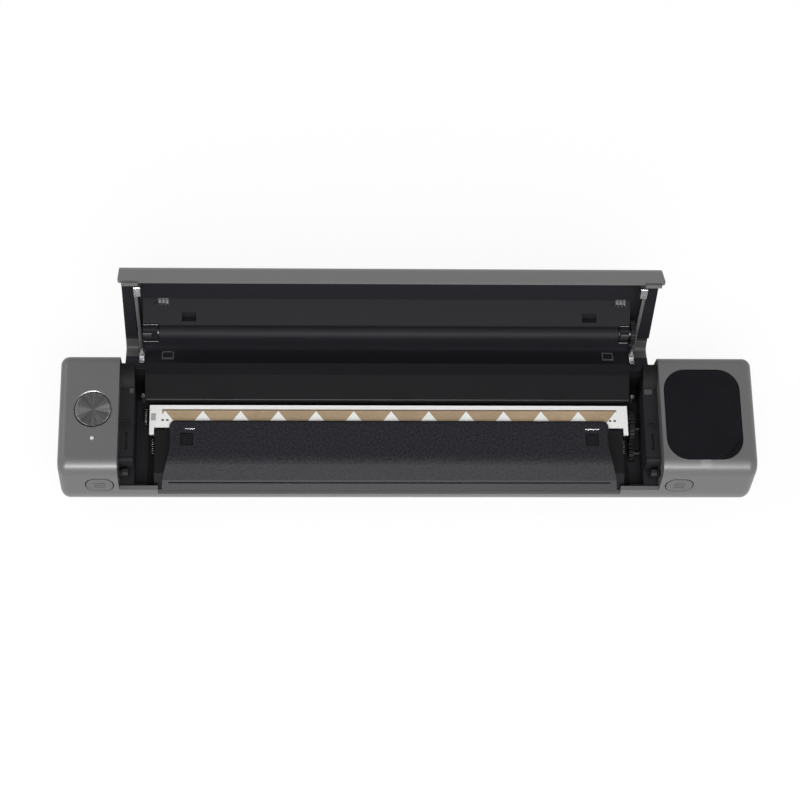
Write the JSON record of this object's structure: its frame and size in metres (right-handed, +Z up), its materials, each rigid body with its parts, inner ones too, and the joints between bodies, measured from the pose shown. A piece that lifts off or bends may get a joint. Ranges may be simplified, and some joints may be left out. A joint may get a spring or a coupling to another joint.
{
  "type": "portable A4 thermal printer",
  "caption": "Slim portable A4 thermal printer with its hinged cover open, showing the platen roller and print head.",
  "frame": {"origin": "centre of the flat underside, on the table plane", "axes": "+X along the printer to its right end seen from the front, +Z up, -Y towards the front with the paper slot"},
  "size_m": [0.331, 0.0983, 0.0737],
  "materials": {
    "case_plastic": "fine moulded texture, satin",
    "base_plastic": "moulded",
    "pad_rubber": "matt",
    "screw_steel": "blackened",
    "black_plastic": "satin",
    "guide_plastic": "satin",
    "sensor_plastic": "clear dark window",
    "head_ceramic": "white with a brown glazed line",
    "heatsink_aluminium": "extruded",
    "spring_steel": "wire",
    "gear_plastic": "moulded",
    "pin_steel": "ground",
    "motor_steel": "drawn",
    "button_metal": "spun, with circular brushing",
    "ring_metal": "polished",
    "light_lens": "small lens, unlit",
    "display_black": "gloss panel behind clear film",
    "film_clear": "thin clear film",
    "release_plastic": "satin",
    "port_steel": "plated",
    "cell_wrap": "shrink wrapped",
    "board_green": "solder resist",
    "bush_plastic": "moulded",
    "platen_rubber": "ground rubber",
    "brace_metal": "blackened"
  },
  "bodies": {
    "base": {"outer_case": "case_plastic", "base_plate": "base_plastic", "anti_slip_pads": "pad_rubber", "base_screws": "screw_steel", "inner_frame": "black_plastic", "side_frame_left": "black_plastic", "side_frame_right": "black_plastic", "ledge_screws": "screw_steel", "rear_guide": "guide_plastic", "front_guide": "guide_plastic", "sensor_windows": "sensor_plastic", "head_springs": "spring_steel", "idler_pin": "pin_steel", "drive_motor": "motor_steel", "button_ring": "ring_metal", "status_light": "light_lens", "display_glass": "display_black", "display_film": "film_clear", "usb_port": "port_steel", "battery_cells": "cell_wrap", "main_board": "board_green", "hinge_pin_left": "pin_steel", "hinge_pin_right": "pin_steel"},
    "cover": {"cover_shell": "case_plastic", "cover_liner": "black_plastic", "platen_bushes": "bush_plastic", "brace_left": "brace_metal", "brace_right": "brace_metal", "brace_clip_left": "brace_metal", "brace_clip_right": "brace_metal", "hinge_bracket_left": "brace_metal", "hinge_bracket_right": "brace_metal"},
    "platen": {"platen_shaft": "pin_steel", "platen_roller": "platen_rubber", "platen_gear": "gear_plastic"},
    "head": {"print_head": "head_ceramic", "head_heatsink": "heatsink_aluminium"},
    "idler": {"idler_gear": "gear_plastic"},
    "pinion": {"motor_pinion": "gear_plastic", "motor_shaft": "pin_steel"},
    "power": {"power_button": "button_metal"},
    "release_left": {"release_button_left": "release_plastic"},
    "release_right": {"release_button_right": "release_plastic"}
  },
  "joints": [
    {"name": "cover_hinge", "type": "hinge", "parent": "base", "child": "cover", "pos_m": [0, 0.0292, 0.0205], "axis": [1, 0, 0], "range_deg": [0, 113]},
    {"name": "platen_spin", "type": "hinge", "parent": "cover", "child": "platen", "pos_m": [0, 0.04486, 0.03602], "axis": [1, 0, 0], "continuous": true},
    {"name": "head_press", "type": "slide", "parent": "base", "child": "head", "axis": [0, 0, 1], "range_m": [-0.0008, 0], "stiffness_N_per_m": 2000, "springref_m": 0.002, "deforming": ["head_springs"]},
    {"name": "idler_spin", "type": "hinge", "parent": "base", "child": "idler", "pos_m": [0, 0.00283, 0.01575], "axis": [1, 0, 0], "continuous": true},
    {"name": "pinion_spin", "type": "hinge", "parent": "base", "child": "pinion", "pos_m": [0, -0.00899, 0.01366], "axis": [1, 0, 0], "continuous": true},
    {"name": "power_press", "type": "slide", "parent": "base", "child": "power", "axis": [0, 0, -1], "range_m": [0, 0.0006], "stiffness_N_per_m": 800, "springref_m": -0.001},
    {"name": "release_left_press", "type": "slide", "parent": "base", "child": "release_left", "axis": [0, 0.9659, -0.2588], "range_m": [0, 0.0012], "stiffness_N_per_m": 600, "springref_m": -0.002},
    {"name": "release_right_press", "type": "slide", "parent": "base", "child": "release_right", "axis": [0, 0.9659, -0.2588], "range_m": [0, 0.0012], "stiffness_N_per_m": 600, "springref_m": -0.002}
  ],
  "couplings": [
    {"joint": "pinion_spin", "follows": "idler_spin", "ratio": -2.3333}
  ]
}
